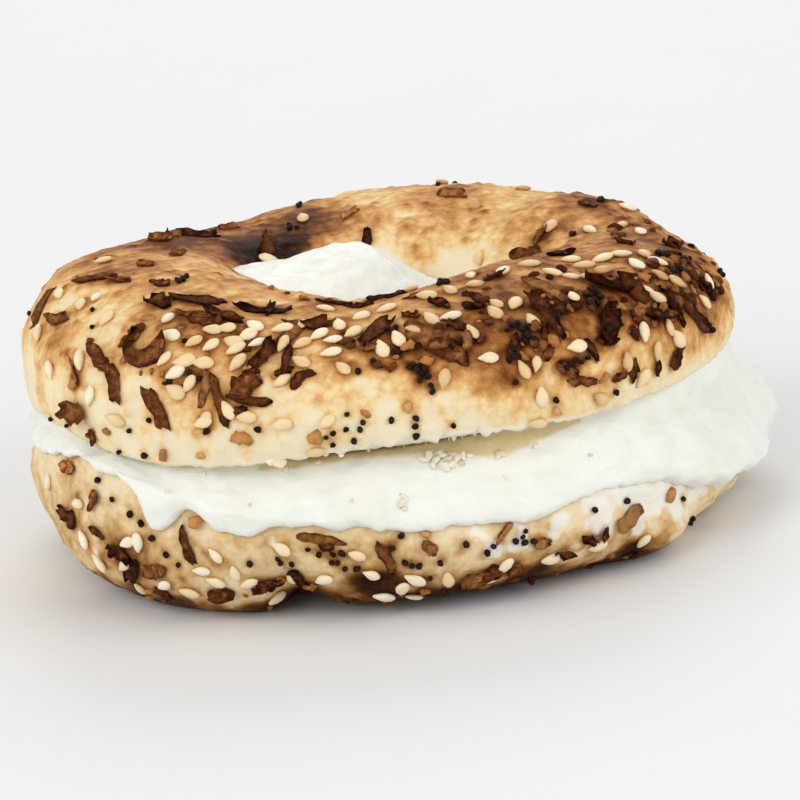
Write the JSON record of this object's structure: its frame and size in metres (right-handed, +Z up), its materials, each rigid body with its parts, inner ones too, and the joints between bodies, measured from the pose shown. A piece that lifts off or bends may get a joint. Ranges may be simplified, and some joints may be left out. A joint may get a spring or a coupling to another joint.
{
  "type": "bagel with cream cheese",
  "caption": "Seeded ring-shaped bread roll, sliced level and filled with a thick layer of cream cheese that heaps up in the hole and bulges out at one side.",
  "frame": {"origin": "on the table, under the middle of the whole", "axes": "+Z up, +X to the right towards the side where the cheese bulges, +Y away from the viewer of the front"},
  "size_m": [0.111, 0.1046, 0.0449],
  "materials": {
    "bagel_bottom": "baked crust, stands in for bread",
    "cream_cheese": "soft and faintly glossy, stands in for cream cheese",
    "bagel_top": "baked crust, stands in for bread"
  },
  "bodies": {
    "root": {"bagel_bottom": "bagel_bottom", "cream_cheese": "cream_cheese", "bagel_top": "bagel_top"}
  },
  "joints": []
}
